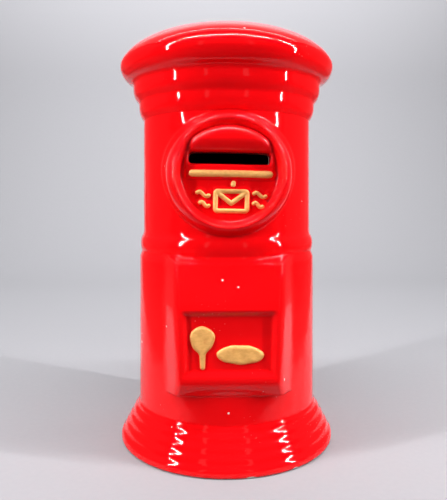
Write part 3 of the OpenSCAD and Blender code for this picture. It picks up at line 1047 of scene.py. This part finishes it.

# The floor: a sheet of paper that sweeps up behind the bank. Shade is painted on it: a little
# darker in front and where the bank stands, graded to pale behind, and painted near black in front
# and to the sides, where the glaze mirrors it.
floor_mesh = bpy.data.meshes.new("paper")
sweep = [(-0.6, 0.0), (0.45, 0.0)]
sweep += [(0.45 + 0.35 * math.sin(a), 0.35 - 0.35 * math.cos(a))
          for a in np.radians(np.linspace(8, 90, 14))]
sweep += [(0.80, 1.6)]
paper_points = [(side * 1.6, y, z) for y, z in sweep for side in (-1, 1)]
paper_faces = [(2 * k, 2 * k + 1, 2 * k + 3, 2 * k + 2) for k in range(len(sweep) - 1)]
floor_mesh.from_pydata(paper_points, [], paper_faces)
floor_mesh.shade_smooth()
paper = bpy.data.objects.new("paper", floor_mesh)
bpy.context.scene.collection.objects.link(paper)
paper_material, tree, shader = new_material("paper")
here, marks = fired(tree)
white = mix_colour(tree, marks["Peel"], (0.30, 0.298, 0.318, 1), (0.32, 0.318, 0.338, 1))
split = put(tree, "ShaderNodeSeparateXYZ", in_0=here)
depth = split.outputs[1]
beside = maths(tree, "SUBTRACT", maths(tree, "ABSOLUTE", split.outputs[0]),
               maths(tree, "MULTIPLY", depth, 0.42))
# Painted shade: the paper is a little darker in front and where the bank stands, graded to pale
# further back.
shaded = mix_colour(tree, 0.08, white, (0, 0, 0, 1))
white = mix_colour(tree, ramp(tree, depth, 0.05, 0.42), shaded, white)
shade_black = (0.012, 0.012, 0.013, 1)
# Painted shade: near black to the sides and in front of the bank, for the glaze to mirror.
white = mix_colour(tree, ramp(tree, beside, 0.125, 0.185, 0.0, 0.85), white, shade_black)
white = mix_colour(tree, ramp(tree, depth, -0.080, -0.060), shade_black, white)
tree.links.new(white, shader.inputs["Base Color"])
shader.inputs["Roughness"].default_value = 0.9
paper.data.materials.append(paper_material)

# The light: a frame of narrow bright boxes round the bank, one at each side and one
# overhead, with wide dim boxes behind and two dim windows by the camera. A soft fill
# from the front lights the reds, and the glaze doesn't mirror it.


def soft_box(name, place, target, wide, tall, brightness):
    """A soft box at `place`, turned to `target`; brightness is that of its face."""
    light = bpy.data.lights.new(name, "AREA")
    light.shape = "RECTANGLE"
    light.size = wide
    light.size_y = tall
    light.energy = brightness * math.pi * wide * tall
    box = bpy.data.objects.new(name, light)
    bpy.context.scene.collection.objects.link(box)
    box.location = place
    box.rotation_euler = (Vector(target) - Vector(place)).to_track_quat("-Z", "Y").to_euler()
    box.visible_camera = False
    return box


def at_turn(turn, away, height):
    """A place `turn` degrees round from the camera's side."""
    a = math.radians(turn)
    return (away * math.sin(a), -away * math.cos(a), height)


soft_box("left_strip", (-0.35, -0.204, 0.355), (0, 0, 0.355), 0.008, 0.51, 230)
soft_box("right_strip", (0.35, -0.146, 0.355), (0, 0, 0.355), 0.008, 0.51, 230)
soft_box("top_strip", (0, -0.135, 0.61), (0, -0.03, 0.1), 0.56, 0.010, 200)
soft_box("left_wall", at_turn(-112, 0.75, 0.35), (0, 0, 0.2), 1.0, 0.8, 0.08)
soft_box("right_wall", at_turn(114, 0.75, 0.35), (0, 0, 0.2), 1.0, 0.8, 0.09)
soft_box("ceiling", (0, 0.42, 0.85), (0, 0.1, 0), 1.3, 0.7, 0.38)
soft_box("left_window", at_turn(-26, 1.0, 0.35), (0, 0, 0.1), 0.09, 0.6, 0.6)
soft_box("right_window", at_turn(22, 1.0, 0.35), (0, 0, 0.1), 0.09, 0.6, 0.6)
soft_box("backdrop", (0, 0.25, 0.95), (0, 1.25, 0.5), 1.2, 0.3, 14)
soft_box("fill", (0, -0.8, 0.52), (0, 0, 0.09), 0.7, 0.7, 1.55).visible_glossy = False

world = bpy.data.worlds.new("tent")
bpy.context.scene.world = world
world.use_nodes = True
world.node_tree.nodes["Background"].inputs["Color"].default_value = (0.5, 0.5, 0.52, 1)
world.node_tree.nodes["Background"].inputs["Strength"].default_value = 0.04
bpy.context.scene.view_settings.view_transform = "Standard"
